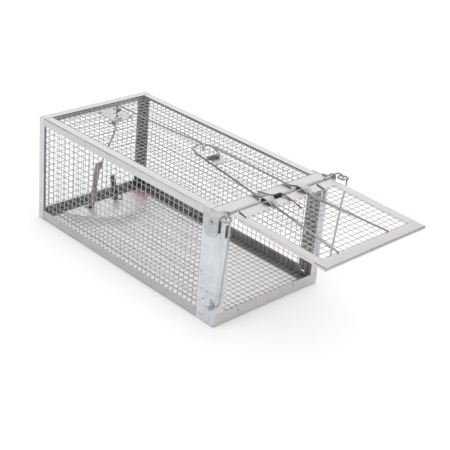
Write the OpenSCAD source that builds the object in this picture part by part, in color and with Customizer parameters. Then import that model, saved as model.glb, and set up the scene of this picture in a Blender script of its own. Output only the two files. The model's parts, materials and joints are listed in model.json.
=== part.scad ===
// Live catch trap: a welded-mesh cage held by folded sheet strips, with a sprung front door,
// a hanging pedal at the rear, a trigger rod on the roof and a lock wire on each side of the mouth.
// X runs from the rear panel towards the door, Z is up, and the origin is the middle of the base.

/* [Cage] */
// Length of the cage, rear panel to front frame
cage_l = 266; // [262:1:272]
// Width of the cage
cage_w = 137; // [134:1:140]
// Height of the cage
cage_h = 111.5; // [110:0.5:113]
// Thickness of the folded sheet
sheet_t = 0.6; // [0.5:0.1:0.8]
// Height of the upper corner strips on the side walls
top_leg = 7.6; // [6:0.2:9]
// Height of the lower corner strips on the side walls
bottom_leg = 10.5; // [9:0.5:12]
// Width of the corner strips on the roof and on the base
flat_leg = 9; // [8:0.5:10]
// Depth of the frame round the rear end
rear_leg = 9; // [8:0.5:10]

/* [Mesh] */
// Pitch of the mesh wires
mesh_pitch = 6.4; // [6:0.1:7]
// Diameter of the mesh wires
mesh_d = 0.64; // [0.5:0.02:0.9]

/* [Front frame] */
// Depth of the front posts along the side walls
post_depth = 24; // [22:1:26]
// Width of the front posts across the front
post_face = 10; // [8:0.5:11]
// Height of the lower corner plates
corner_h = 32; // [30:1:34]
// Height of the front sill
sill_h = 12.5; // [11:0.5:14]
// Depth of the sheet strip across the front of the roof
header_depth = 16; // [14:1:18]

/* [Door] */
// Distance from the hinge line to the door's free edge
door_reach = 111; // [110:0.5:111]
// Width of the door
door_w = 130; // [128:1:131]
// Angle that the open door droops below level
door_droop = 1.65; // [0:0.05:3]
// Width of the strip along each side of the door
door_side = 9.5; // [8:0.5:11]
// Depth of the strip along the free edge of the door
door_front = 12; // [10:0.5:14]
// Diameter of the hinge rod
rod_d = 2.6; // [2.4:0.1:2.8]
// Diameter of the wire of the door's two arms
arm_d = 2; // [1.8:0.1:2.2]

/* [Lock wires] */
// Length of each lock wire below its ring
lock_drop = 84; // [78:1:88]
// Diameter of the lock wires
lock_d = 1.8; // [1.6:0.1:2]

/* [Trigger] */
// Radius of the half-round pedal plate
pedal_r = 50; // [45:1:51]
// Height of the pedal plate's rear edge above the base
pedal_z = 6.5; // [6:0.5:8]
// How far the pedal plate tilts up towards the front, in degrees
pedal_tilt = 6; // [5:0.5:7]
// Height of the pedal's pivot pin
pivot_z = 104; // [103:0.5:105]
// Height of the trigger rod's rear end
rod_rear_z = 120.4; // [120:0.1:121]

/* [Hidden] */
$fn = 48;

hinge_in = 2;
hinge_z = cage_h + 2;
total_l = cage_l + hinge_in + door_reach * cos(door_droop);
half_w = cage_w / 2;
mesh_r = mesh_d / 2;
mesh_skin = sheet_t + 2 * mesh_d;

// Every part is drawn from the rear panel forwards, then moved so that the origin is in the middle.
module from_rear() {
  translate([-total_l / 2, 0, 0]) children();
}

// A round bar between two points.
module bar(from, to, d) {
  run = to - from;
  translate(from)
    rotate([0, acos(run[2] / norm(run)), atan2(run[1], run[0])])
      cylinder(d = d, h = norm(run));
}

function unit(v) = v / norm(v);
function heading(path, i) =
  i == 0 ? unit(path[1] - path[0])
  : i == len(path) - 1 ? unit(path[i] - path[i - 1])
  : unit(unit(path[i + 1] - path[i]) + unit(path[i] - path[i - 1]));

// Points of one arc that rounds the corner b between a and c, cut back by the length r.
function corner(a, b, c, r, steps = 4) =
  let (p = b + r * unit(a - b), q = b + r * unit(c - b))
  [for (i = [0:steps]) let (t = i / steps) (1 - t) * (1 - t) * p + 2 * t * (1 - t) * b + t * t * q];

// A path with every inner corner rounded.
function rounded(path, r, steps = 4) = [
  path[0],
  for (i = [1:len(path) - 2]) each corner(path[i - 1], path[i], path[i + 1], r, steps),
  path[len(path) - 1]
];

// A bent wire swept along a path; "side" is any direction that the path never follows.
module bent_wire(path, d, side = [0, 0, 1], sides = 10) {
  n = len(path);
  points = [
    for (i = [0:n - 1])
      let (t = heading(path, i), u = unit(cross(side, t)), v = cross(t, u))
      for (k = [0:sides - 1])
        path[i] + d / 2 * (cos(360 * k / sides) * u + sin(360 * k / sides) * v)
  ];
  walls = [
    for (i = [0:n - 2]) for (k = [0:sides - 1])
      let (a = i * sides + k, b = i * sides + (k + 1) % sides)
      each [[a, b + sides, b], [a, a + sides, b + sides]]
  ];
  caps = [
    [for (k = [0:sides - 1]) k],
    [for (k = [sides - 1:-1:0]) (n - 1) * sides + k]
  ];
  polyhedron(points = points, faces = concat(walls, caps), convexity = 6);
}

// A flat panel of crossed wires: "u" wires run along X, "v" wires lie on them and run along Y.
module mesh_panel(length, width, start = 2) {
  for (y = [start:mesh_pitch:width - 1]) bar([0, y, 0], [length, y, 0], mesh_d);
  for (x = [start:mesh_pitch:length - 1]) bar([x, 0, mesh_d], [x, width, mesh_d], mesh_d);
}

// An angle strip along X with its outer corner on the X axis. The flat leg is 8 mm longer.
module angle_strip(length, leg_y, leg_z) {
  cube([length + 8, leg_y, sheet_t]);
  cube([length, sheet_t, leg_z]);
}

// ---- Cage panels ----

wall_y = half_w - sheet_t - mesh_r;
floor_w = cage_w - 2 * mesh_skin - 1;
mesh_l = cage_l - sheet_t - 2;
wall_h = cage_h - 2 * sheet_t - 0.6;

module bottom_mesh() {
  color("silver") from_rear()
    translate([sheet_t + 1, -floor_w / 2, sheet_t + mesh_r]) mesh_panel(mesh_l, floor_w, 2.5);
}

module side_wall() {
  translate([sheet_t + 1, wall_y, sheet_t + 0.3])
    rotate([90, 0, 0]) mesh_panel(mesh_l, wall_h, 2.2);
}

module right_mesh() {
  color("silver") from_rear() side_wall();
}

module left_mesh() {
  color("silver") from_rear() mirror([0, 1, 0]) side_wall();
}

// The roof mesh is cut open under the trigger bracket.
slot_x = 38;
slot_y = -2.5;
module top_mesh() {
  color("silver") from_rear() difference() {
    translate([sheet_t + 1, -floor_w / 2, cage_h - sheet_t - mesh_r])
      mirror([0, 0, 1]) mesh_panel(mesh_l, floor_w, 2.5);
    translate([slot_x - 9.3, slot_y - 9, cage_h - 4]) cube([19, 18, 5]);
  }
}

module rear_mesh() {
  rear_h = cage_h - 2 * mesh_skin - 1;
  color("silver") from_rear()
    translate([sheet_t + mesh_r, -floor_w / 2 + 0.5, mesh_skin + 0.5])
      rotate([90, 0, 90]) mesh_panel(floor_w - 1, rear_h, 2);
}

// ---- Corner strips and the rear frame ----

rail_start = rear_leg + 0.4;
rail_l = cage_l - post_depth - rail_start - 0.4;

module bottom_rail() {
  translate([rail_start, -half_w, 0]) angle_strip(rail_l, flat_leg, bottom_leg);
}

module top_rail() {
  translate([rail_start, -half_w, cage_h]) mirror([0, 0, 1]) angle_strip(rail_l, flat_leg, top_leg);
}

module left_bottom_rail() {
  color("lightgray") from_rear() bottom_rail();
}

module right_bottom_rail() {
  color("lightgray") from_rear() mirror([0, 1, 0]) bottom_rail();
}

module left_top_rail() {
  color("lightgray") from_rear() top_rail();
}

module right_top_rail() {
  color("lightgray") from_rear() mirror([0, 1, 0]) top_rail();
}

// One upright angle of the rear frame: a leg on the side wall and a leg on the rear panel.
module rear_upright() {
  cube_h = cage_h - 2 * sheet_t;
  translate([0, -half_w, sheet_t]) cube([rear_leg, sheet_t, cube_h]);
  translate([0, -half_w, sheet_t]) cube([sheet_t, rear_leg, cube_h]);
}

// One level angle of the rear frame, between the uprights on the rear panel.
module rear_level() {
  translate([0, -half_w, 0]) cube([rear_leg, cage_w, sheet_t]);
  translate([0, -half_w + rear_leg, 0]) cube([sheet_t, cage_w - 2 * rear_leg, rear_leg]);
}

module rear_frame_left() {
  color("lightgray") from_rear() rear_upright();
}

module rear_frame_right() {
  color("lightgray") from_rear() mirror([0, 1, 0]) rear_upright();
}

module rear_frame_bottom() {
  color("lightgray") from_rear() rear_level();
}

module rear_frame_top() {
  color("lightgray") from_rear() translate([0, 0, cage_h]) mirror([0, 0, 1]) rear_level();
}

// ---- Front frame ----

post_x = cage_l - post_depth;

module front_post() {
  difference() {
    translate([post_x, -half_w, corner_h]) cube([post_depth, sheet_t, cage_h - corner_h - sheet_t]);
    translate([post_x + 2, -half_w - 1, 45]) cube([1.2, 3, 5]);
  }
  difference() {
    translate([cage_l - sheet_t, -half_w, corner_h])
      cube([sheet_t, post_face, cage_h - corner_h - sheet_t]);
    translate([cage_l - 2, -half_w + 4, 88]) cube([4, 3.5, 13]);
  }
}

// The lower corner plate has a small hole and a slit in its side.
module corner_plate() {
  lower_h = corner_h - 0.4;
  difference() {
    translate([post_x, -half_w, sheet_t]) cube([post_depth, sheet_t, lower_h - sheet_t]);
    translate([post_x + 8, -half_w - 1, 23])
      rotate([-90, 0, 0]) cylinder(d = 2.2, h = 3);
    translate([post_x + 3, -half_w - 1, 5]) cube([5, 3, 1.2]);
    translate([cage_l - 7, -half_w - 1, 21]) cube([3.6, 3, 7]);
  }
  translate([cage_l - sheet_t, -half_w, sill_h]) cube([sheet_t, post_face, lower_h - sill_h]);
}

// A tongue that stands out from the side wall and holds a lock wire.
module catch() {
  translate([cage_l - 9.5, -half_w - 6, 17]) cube([6, 6, 0.8]);
  translate([cage_l - 9.5, -half_w - 6, 17]) cube([6, 0.8, 4]);
}

module left_front_post() {
  color("gainsboro") from_rear() front_post();
}

module right_front_post() {
  color("gainsboro") from_rear() mirror([0, 1, 0]) front_post();
}

module left_corner_plate() {
  color("lightgray") from_rear() corner_plate();
}

module right_corner_plate() {
  color("lightgray") from_rear() mirror([0, 1, 0]) corner_plate();
}

module left_catch() {
  color("whitesmoke") from_rear() catch();
}

module right_catch() {
  color("whitesmoke") from_rear() mirror([0, 1, 0]) catch();
}

sill_holes = [[-38, 8], [34.5, 9.5]];
module front_sill() {
  color("gainsboro") from_rear() difference() {
    union() {
      translate([cage_l - sheet_t, -half_w + sheet_t, 0])
        cube([sheet_t, cage_w - 2 * sheet_t, sill_h - 0.3]);
      translate([cage_l - 16, -half_w + sheet_t, 0])
        cube([16, cage_w - 2 * sheet_t, sheet_t]);
    }
    for (p = sill_holes)
      translate([cage_l - 2, p[0], p[1]]) rotate([0, 90, 0]) cylinder(d = 1.8, h = 4);
  }
}

module sill_rivets() {
  color("dimgray") from_rear() for (p = sill_holes)
    translate([cage_l - sheet_t, p[0], p[1]]) rotate([0, 90, 0]) {
      cylinder(d = 1.8, h = sheet_t);
      translate([0, 0, sheet_t]) cylinder(d = 3, h = 0.2);
    }
}

// The strip across the front of the roof ends in a small rolled bead.
bead_r = 1;
bead_end = 56.5;
module roof_header() {
  color("gainsboro") from_rear() {
    translate([cage_l - header_depth, -half_w + sheet_t, cage_h - sheet_t])
      cube([header_depth - 1, cage_w - 2 * sheet_t, sheet_t]);
    translate([cage_l - 1.9, -bead_end, cage_h + 0.6]) rotate([-90, 0, 0])
      cylinder(r = bead_r, h = 2 * bead_end);
  }
}

// ---- Hinge ----

hinge_x = cage_l + hinge_in;
bore_r = rod_d / 2 + 0.06;
tab_r = 2.3;
tab_y = 57.5;
tab_w = 7.5;

// Two tabs on the roof strip are curled round the hinge rod, one near each end.
module hinge_tabs() {
  color("lightgray") from_rear() for (s = [0, 1]) mirror([0, s, 0])
    translate([hinge_x, tab_y, hinge_z]) rotate([-90, 0, 0]) difference() {
      union() {
        cylinder(r = tab_r, h = tab_w);
        translate([-hinge_in - 4, 1.4, 0]) cube([hinge_in + 4, 0.6, tab_w]);
      }
      translate([0, 0, -1]) cylinder(r = bore_r, h = tab_w + 2);
    }
}

rod_end = 70.2;
arch_out = 4.8;
arch_along = 7.4;
ring_r = 4.7;
lock_x = hinge_x + arch_along;
lock_y = rod_end + arch_out;
lock_z = hinge_z + 0.5;

// The rod's end climbs over in a half loop and comes down through the lock wire's ring.
function rod_end_path() = [
  for (i = [0:12]) let (a = 180 - 15 * i)
    [
      hinge_x + arch_along * (1 + cos(a)) / 2,
      rod_end + arch_out * (1 + cos(a)) / 2,
      hinge_z + 4.4 * sin(a)
    ],
  [lock_x, lock_y, hinge_z - 2.6]
];

module hinge_rod() {
  color("silver") from_rear() {
    translate([hinge_x, -rod_end, hinge_z]) rotate([-90, 0, 0]) cylinder(d = rod_d, h = 2 * rod_end);
    for (s = [0, 1]) mirror([0, s, 0])
      bent_wire(rod_end_path(), 1.8, [arch_out, -arch_along, 0]);
  }
}

// The ear is a side plate with a round head that carries the end of the hinge rod.
ear_rivet_x = cage_l - 13.5;
ear_rivet_z = 100;
ear_t = 0.7;
module ear() {
  translate([0, -half_w, 0]) rotate([90, 0, 0]) linear_extrude(ear_t) difference() {
    union() {
      translate([cage_l - 23, cage_h - 17]) square([19, 17]);
      translate([cage_l - 14, cage_h - 17]) circle(r = 9);
      translate([hinge_x, hinge_z]) circle(r = 4.2);
      translate([cage_l - 10, cage_h - 3.5]) square([hinge_in + 10, 5.5]);
    }
    translate([hinge_x, hinge_z]) circle(r = bore_r);
    translate([ear_rivet_x, ear_rivet_z]) circle(r = 1.5);
  }
}

module left_hinge_ear() {
  color("gainsboro") from_rear() ear();
}

module right_hinge_ear() {
  color("gainsboro") from_rear() mirror([0, 1, 0]) ear();
}

module ear_rivets() {
  color("dimgray") from_rear() for (s = [0, 1]) mirror([0, s, 0])
    translate([ear_rivet_x, -half_w, ear_rivet_z]) rotate([90, 0, 0]) {
      cylinder(r = 1.5, h = ear_t);
      translate([0, 0, ear_t]) cylinder(r = 2.5, h = 0.8);
    }
}

// ---- Trigger bracket on the roof ----

cheek_y = [slot_y - 6.5, slot_y + 6.5];
bracket_z = cage_h;
pivot_d = 2;
rivet_spots = [[-12.5, -9], [12.5, -9], [-12.5, 9], [12.5, 9]];

// A plate on the roof mesh with a slot for the pedal lever, a curved slot beside it, and two
// cheeks that hold the pivot pin.
arc_r = 10.5;
module trigger_bracket() {
  color("gainsboro") from_rear() difference() {
    union() {
      translate([slot_x - 16, slot_y - 12, bracket_z]) cube([32, 24, 0.8]);
      for (y = cheek_y)
        translate([slot_x - 6, y - 0.4, pivot_z - 4]) cube([12, 0.8, bracket_z - pivot_z + 4.4]);
    }
    translate([slot_x - 4, slot_y - 0.8, bracket_z - 1]) cube([6.6, 6.6, 3]);
    translate([slot_x - 2, slot_y - 4, bracket_z - 1]) linear_extrude(3) intersection() {
      difference() {
        circle(r = arc_r);
        circle(r = arc_r - 2.2);
      }
      polygon([[0, 0], [20, -4], [20, 20], [14, 20]]);
    }
    for (p = rivet_spots)
      translate([slot_x + p[0], slot_y + p[1], bracket_z - 1]) cylinder(d = 2, h = 3);
    translate([slot_x, slot_y - 8, pivot_z]) rotate([-90, 0, 0]) cylinder(d = pivot_d, h = 16);
  }
}

module bracket_rivets() {
  color("dimgray") from_rear() for (p = rivet_spots)
    translate([slot_x + p[0], slot_y + p[1], bracket_z]) {
      cylinder(d = 2, h = 0.8);
      translate([0, 0, 0.8]) cylinder(d = 3.4, h = 0.6);
    }
}

module pedal_pivot_pin() {
  color("silver") from_rear()
    translate([slot_x, slot_y - 7.7, pivot_z]) rotate([-90, 0, 0]) cylinder(d = pivot_d, h = 15.4);
}

// ---- Trigger rod ----

rod_rear_x = 43.5;
rod_rear_y = 3.2;
rod_front_x = 143;
rod_front_y = 12.9;
rod_front_z = cage_h + 5.8;
function rod_y(x) =
  rod_rear_y + (rod_front_y - rod_rear_y) * (x - rod_rear_x) / (rod_front_x - rod_rear_x);
function rod_z(x) =
  rod_rear_z + (rod_front_z - rod_rear_z) * (x - rod_rear_x) / (rod_front_x - rod_rear_x);

// A three-cornered eye at the rear for the pedal lever, a long run that sags slightly to one
// side, and a hook that reaches between the ends of the door's arms.
module trigger_rod() {
  color("silver") from_rear()
    bent_wire(concat(
      rounded([
        [41.2, 2.2, 117.6], [36.2, 2.4, 113.7], [33.6, 2.2, rod_rear_z + 0.4],
        [rod_rear_x, rod_rear_y, rod_rear_z]
      ], 1),
      [for (x = [55:15:rod_front_x]) [x, rod_y(x) - 1.2 * sin(1.8 * (x - 45)), rod_z(x)]],
      rounded([
        [rod_front_x + 2, rod_front_y, rod_front_z - 0.2], [152.5, 12.9, rod_front_z - 0.6],
        [155, 10.2, rod_front_z - 1], [159, 6, rod_front_z - 1.8]
      ], 1)
    ), 1.6, [0, 1, 0.05], 8);
}

// ---- Door ----

// Parts of the door are drawn level, with the hinge line at the origin, then drooped and placed.
module door_place() {
  translate([-total_l / 2 + hinge_x, 0, hinge_z]) rotate([0, door_droop, 0]) children();
}

strip_z = 0.1;
strip_x = 3.2;
rear_strip_w = 10;
door_half = door_w / 2;

module door_mesh() {
  color("silver") door_place()
    translate([strip_x + 1, -door_half + 1.5, strip_z - mesh_r])
      mirror([0, 0, 1]) mesh_panel(door_reach - strip_x - 2.5, door_w - 3, 3);
}

module door_rear_strip() {
  color("lightgray") door_place()
    translate([strip_x, -door_half + 1, strip_z]) cube([rear_strip_w, door_w - 2, sheet_t]);
}

// The free edge is turned down in a narrow lip.
module door_front_strip() {
  color("lightgray") door_place() {
    translate([door_reach - door_front, -door_half, strip_z]) cube([door_front, door_w, sheet_t]);
    translate([door_reach - sheet_t, -door_half, strip_z - 2]) cube([sheet_t, door_w, 2]);
  }
}

side_l = door_reach - door_front - strip_x - rear_strip_w;
module door_side_strip() {
  translate([strip_x + rear_strip_w, -door_half, strip_z]) cube([side_l, door_side, sheet_t]);
}

module door_right_strip() {
  color("lightgray") door_place() mirror([0, 1, 0]) door_side_strip();
}

// The left strip has a rolled edge.
module door_left_strip() {
  color("lightgray") door_place() {
    door_side_strip();
    translate([strip_x + rear_strip_w, -door_half, strip_z - 0.5]) rotate([0, 90, 0])
      cylinder(r = 1.1, h = side_l);
  }
}

// A tongue from the door's rear strip, curled round the hinge rod.
knuckle_r = 2.3;
knuckle_w = 7.5;
module knuckle(y) {
  translate([-total_l / 2 + hinge_x, y - knuckle_w / 2, hinge_z]) rotate([0, door_droop, 0])
    rotate([-90, 0, 0]) difference() {
      union() {
        cylinder(r = knuckle_r, h = knuckle_w);
        translate([1.6, -strip_z - sheet_t - 0.8, 0]) cube([8.4, 0.8, knuckle_w]);
      }
      translate([0, 0, -1]) cylinder(r = bore_r, h = knuckle_w + 2);
    }
}

module left_hinge_knuckle() {
  color("whitesmoke") knuckle(-20);
}

module right_hinge_knuckle() {
  color("whitesmoke") knuckle(24.5);
}

// Two short wires pressed on to the rear strip beside the hinge.
module door_staples() {
  color("gray") door_place() {
    bar([strip_x + 0.4, -56, strip_z + sheet_t + 0.7], [strip_x + 11, -58, strip_z + sheet_t + 0.7], 1.4);
    bar([strip_x + 0.4, 43, strip_z + sheet_t + 0.7], [strip_x + 15, 40, strip_z + sheet_t + 0.7], 1.4);
  }
}

// Heights of an arm above the hinge line: over the roof, over the knuckle, and on the door mesh.
arm_at_rear = -0.3;
arm_over_roof = -1;
arm_over_knuckle = knuckle_r + arm_d / 2 + 0.1;
arm_on_door = strip_z + arm_d / 2;
arm_end = door_reach - door_front - 0.2;

// The stretch of an arm from the roof strip over the hinge; "y" is its place on the hinge line.
function over_hinge(y, slope) = [
  [-10.5, y - 10.5 * slope, arm_over_roof], [-1.5, y, arm_over_knuckle],
  [3.5, y, arm_over_knuckle], [10.6, y + 10.6 * slope, arm_over_knuckle - 0.8],
  [18, y + 18 * slope, arm_on_door]
];

module left_arm() {
  color("silver") door_place()
    bent_wire(rounded(concat(
      [[-120.4, 10.4, arm_at_rear - 0.5], [-115.5, -1, arm_at_rear - 0.2],
       [-107, -5.5, arm_at_rear], [-99.4, -6.3, arm_at_rear - 0.1]],
      over_hinge(-20, -0.164),
      [[arm_end, -36.4, arm_on_door]]
    ), 2.2, 3), arm_d, [0, 0, 1]);
}

module right_arm() {
  color("silver") door_place()
    bent_wire(rounded(concat(
      [[-116.8, 15.4, arm_at_rear - 0.4], [-112, 18.6, arm_at_rear - 0.2],
       [-105, 19.6, arm_at_rear], [-96, 20.2, arm_at_rear - 0.1],
       [-48, 21.9, arm_at_rear - 0.4]],
      over_hinge(22.7, -0.02),
      [[52, 24, arm_on_door], [arm_end, 28.2, arm_on_door]]
    ), 2.2, 3), arm_d, [0, 0, 1]);
}

// A small angle plate across the arms.
module arm_link_plate() {
  color("gainsboro") door_place() {
    translate([-91, -6.3, -2]) cube([0.7, 17.3, 4.4]);
    translate([-91, -3, -2]) cube([12.5, 12, 0.7]);
  }
}

module arm_link_wire() {
  color("silver") door_place()
    bent_wire([
      [-107, 17.3, 0.2], [-104.5, 16.2, 0.2], [-101.6, 14.9, 0.2], [-98, 13.6, 0.3],
      [-94.5, 12.4, 0.4], [-91.7, 10.2, 0.5]
    ], 1.6, [0, 0, 1], 8);
}

// ---- Door spring ----

coil_turns = 5;
coil_y = -4.5;
coil_w = 10;
coil_mean_r = 2.3;
spring_d = 1.1;

// The coil sits loosely on the hinge rod, and its long leg presses on the door.
module door_spring() {
  steps = 16 * coil_turns;
  start_y = coil_y + coil_w / 2 - 1.3;
  leg_z = strip_z + sheet_t + spring_d / 2;
  color("dimgray") door_place()
    bent_wire(concat(
      [[28, -3.5, leg_z - 0.5], [15, -1.4, leg_z + 0.15], [5, start_y + 0.4, leg_z + 0.65],
       [2.2, start_y + 0.1, coil_mean_r - 0.1]],
      [for (i = [0:steps]) let (a = 80 + 360 * i / 16)
        [coil_mean_r * cos(a), start_y - (coil_w - 2.6) * i / steps, coil_mean_r * sin(a)]]
    ), spring_d, [0.02, 1, 0.01], 8);
}

// The spring's other leg crosses the bead and hooks into the roof mesh.
module spring_roof_leg() {
  leg_z = cage_h + 1.1;
  color("dimgray") from_rear()
    bent_wire([
      [hinge_x - 3.9, coil_y - 1.6, leg_z + 1.6], [hinge_x - 6.3, coil_y - 1.8, leg_z + 0.9],
      [hinge_x - 8.4, coil_y - 2.1, leg_z], [hinge_x - 13, coil_y - 3.7, leg_z],
      [hinge_x - 16.9, coil_y - 5.1, leg_z], [hinge_x - 20, coil_y - 5.3, leg_z - 0.2]
    ], spring_d, [0, 0, 1], 8);
}

// ---- Lock wires ----

lock_foot_x = lock_x - 0.5;
lock_foot_z = lock_z - lock_drop;
lock_leg_y = lock_y - 1.5;

// A ring that hangs on the looped end of the hinge rod, a long leg and a hooked foot.
module lock_wire() {
  translate([lock_x, lock_y, lock_z]) rotate_extrude() translate([ring_r, 0])
    circle(d = lock_d, $fn = 24);
  bent_wire(rounded([
    [lock_x + ring_r, lock_y, lock_z - 0.4], [lock_x + ring_r + 0.5, lock_y - 0.4, lock_z - 8],
    [lock_x + ring_r - 1, lock_leg_y, lock_z - 22], [lock_foot_x, lock_leg_y, lock_foot_z],
    [lock_foot_x - 5, lock_leg_y, lock_foot_z - 6], [lock_foot_x - 9, lock_leg_y, lock_foot_z - 6]
  ], 3), lock_d, [0, 1, 0.03]);
}

module right_lock_wire() {
  color("silver") from_rear() lock_wire();
}

module left_lock_wire() {
  color("silver") from_rear() mirror([0, 1, 0]) lock_wire();
}

// ---- Pedal ----

plate_x = 17;
plate_t = 0.8;
rim_h = 1.6;
strap_w = 7;
strap_y = -20;
strap_top_z = 62;
strap_lean = 9.6;
strap_foot = [9, 0.235];
strap_root_z = pedal_z + strap_foot[0] * sin(pedal_tilt) + strap_foot[1] * cos(pedal_tilt);
strap_root_x = plate_x + strap_foot[0] * cos(pedal_tilt) - strap_foot[1] * sin(pedal_tilt);

// Places a child on the tilted plate, with the middle of its rear edge as the origin.
module on_plate() {
  from_rear() translate([plate_x, 0, pedal_z]) rotate([0, -pedal_tilt, 0]) children();
}

// The lever turns on the pivot pin, reaches up through the slot and pulls the trigger rod.
module pedal_lever() {
  hub_y = slot_y - 1.5;
  eye_x = slot_x - 0.6;
  eye_z = pivot_z + 13;
  strap_top_x = strap_root_x + (strap_top_z - strap_root_z) * tan(strap_lean);
  edge_y = strap_y + strap_w / 2 + 0.95;
  color("silver") from_rear() {
    translate([slot_x, hub_y - 1.8, pivot_z]) rotate([-90, 0, 0]) difference() {
      cylinder(r = 2.4, h = 3.6);
      translate([0, 0, -1]) cylinder(r = pivot_d / 2 + 0.06, h = 6);
    }
    bent_wire(rounded([
      [slot_x, hub_y, pivot_z + 1.9], [slot_x, hub_y + 1.5, pivot_z + 4],
      [eye_x, -0.2, bracket_z - 1], [eye_x, -0.2, eye_z], [eye_x, 5.2, eye_z]
    ], 1), 1.4, [1, 0, 0.02]);
    bent_wire([
      [slot_x, hub_y, pivot_z - 1.9], [slot_x + 1.3, hub_y + 2.6, pivot_z - 6],
      [strap_top_x + 0.6, edge_y, strap_top_z + 1],
      [strap_top_x + 0.4 - 8 * tan(strap_lean), edge_y, strap_top_z - 8]
    ], 1.8, [1, 0, 0.02]);
  }
}

module pedal_strap() {
  strap_l = (strap_top_z - strap_root_z) / cos(strap_lean);
  color("rosybrown") on_plate()
    translate([strap_foot[0], strap_y - strap_w / 2, strap_foot[1]])
      rotate([0, strap_lean + pedal_tilt, 0]) cube([0.8, strap_w, strap_l]);
}

// A half-round plate with a low rim round its curved edge.
module pedal_plate() {
  color("whitesmoke") on_plate() translate([0, 0, -plate_t]) intersection() {
    union() {
      cylinder(r = pedal_r, h = plate_t, $fn = 96);
      difference() {
        cylinder(r = pedal_r, h = plate_t + rim_h, $fn = 96);
        translate([0, 0, -1]) cylinder(r = pedal_r - plate_t, h = rim_h + plate_t + 2, $fn = 96);
      }
    }
    translate([0, -pedal_r, -1]) cube([pedal_r + 1, 2 * pedal_r, rim_h + plate_t + 2]);
  }
}

clip_x = 8;
clip_y = 14;
clip_w = 6;
clip_h = 26;
clip_lean = 12;

module pedal_rivets() {
  color("dimgray") on_plate() for (y = [strap_y, clip_y])
    translate([5.6, y, 0]) cylinder(d = 3, h = 0.8);
}

module bait_clip() {
  color("dimgray") on_plate() translate([clip_x, clip_y - clip_w / 2, 0.02])
    rotate([0, -clip_lean, 0]) cube([0.8, clip_w, clip_h]);
}

module bait_hook() {
  color("gray") on_plate()
    bent_wire([
      [5.7, clip_y, 18.5], [7.2, clip_y + 0.8, 12.5], [9.6, clip_y + 2.4, 8.5],
      [13, clip_y + 3.6, 5.4], [16, clip_y + 2, 3.2], [17, clip_y - 1.2, 2.7],
      [15.4, clip_y - 3.4, 3.6], [13, clip_y - 3.8, 5.4]
    ], 1.5, [1, 0.2, 0.1], 8);
}

bottom_mesh();
left_mesh();
right_mesh();
top_mesh();
rear_mesh();
left_top_rail();
right_top_rail();
left_bottom_rail();
right_bottom_rail();
rear_frame_left();
rear_frame_right();
rear_frame_top();
rear_frame_bottom();
left_front_post();
right_front_post();
left_corner_plate();
right_corner_plate();
left_catch();
right_catch();
front_sill();
roof_header();
hinge_tabs();
hinge_rod();
left_hinge_ear();
right_hinge_ear();
ear_rivets();
sill_rivets();
trigger_bracket();
bracket_rivets();
pedal_pivot_pin();
spring_roof_leg();
door_mesh();
door_rear_strip();
door_front_strip();
door_left_strip();
door_right_strip();
left_hinge_knuckle();
right_hinge_knuckle();
door_staples();
left_arm();
right_arm();
arm_link_plate();
arm_link_wire();
door_spring();
left_lock_wire();
right_lock_wire();
trigger_rod();
pedal_lever();
pedal_strap();
pedal_plate();
pedal_rivets();
bait_clip();
bait_hook();
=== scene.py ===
import json
import math
from math import cos, pi, radians, sin
import bmesh
import bpy
from mathutils import Matrix, Vector, noise


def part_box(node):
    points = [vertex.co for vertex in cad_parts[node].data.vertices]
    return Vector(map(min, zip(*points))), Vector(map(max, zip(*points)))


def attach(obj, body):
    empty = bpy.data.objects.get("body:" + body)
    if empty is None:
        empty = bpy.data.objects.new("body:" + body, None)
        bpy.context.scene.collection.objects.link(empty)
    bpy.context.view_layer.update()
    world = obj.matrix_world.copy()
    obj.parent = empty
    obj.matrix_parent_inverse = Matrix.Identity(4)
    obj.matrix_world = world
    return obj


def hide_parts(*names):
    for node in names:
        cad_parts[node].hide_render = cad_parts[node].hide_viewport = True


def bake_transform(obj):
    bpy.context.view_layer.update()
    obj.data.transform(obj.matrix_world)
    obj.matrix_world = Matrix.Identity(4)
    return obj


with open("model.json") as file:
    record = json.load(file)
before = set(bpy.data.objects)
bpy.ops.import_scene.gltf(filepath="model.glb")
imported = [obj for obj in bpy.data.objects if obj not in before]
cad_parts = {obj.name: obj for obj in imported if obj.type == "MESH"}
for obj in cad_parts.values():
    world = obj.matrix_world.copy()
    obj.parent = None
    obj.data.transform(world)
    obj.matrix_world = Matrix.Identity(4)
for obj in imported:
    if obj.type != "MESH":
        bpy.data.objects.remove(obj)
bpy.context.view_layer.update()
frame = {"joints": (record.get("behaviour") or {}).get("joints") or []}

# Looks of the live catch trap. Shapes are worked out in millimetres in the "cage" axes: x runs from
# the rear panel towards the door, z is up from the base, and y = 0 is the middle.

# ---- Sizes read from the frame ----

MM = 0.001
joints = {j["name"]: j for j in frame["joints"]}
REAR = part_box("rear_frame_left")[0].x / MM


def cad_box_mm(node):
    lo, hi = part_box(node)
    shift = Vector((REAR, 0, 0))
    return lo / MM - shift, hi / MM - shift


CAGE_L = cad_box_mm("left_front_post")[1].x
CAGE_H = cad_box_mm("left_top_rail")[1].z
HALF_W = cad_box_mm("right_top_rail")[1].y
HINGE_X = joints["door_hinge"]["pos_m"][0] / MM - REAR
HINGE_Z = joints["door_hinge"]["pos_m"][2] / MM
LOCK = Vector(joints["right_lock_swing"]["pos_m"]) / MM - Vector((REAR, 0, 0))
PIVOT_X = joints["pedal_swing"]["pos_m"][0] / MM - REAR
PIVOT_Z = joints["pedal_swing"]["pos_m"][2] / MM

SHEET = 0.6
FOLD = 1.1
DROOP = radians(1.65)
DOOR_REACH = 111
DOOR_HALF = 65
STRIP_X = 3.2
STRIP_Z = 0.1
MESH_D = 0.64
MESH_PITCH = 6.4
ROD_R = 1.3
ARM_R = 1.0


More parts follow.
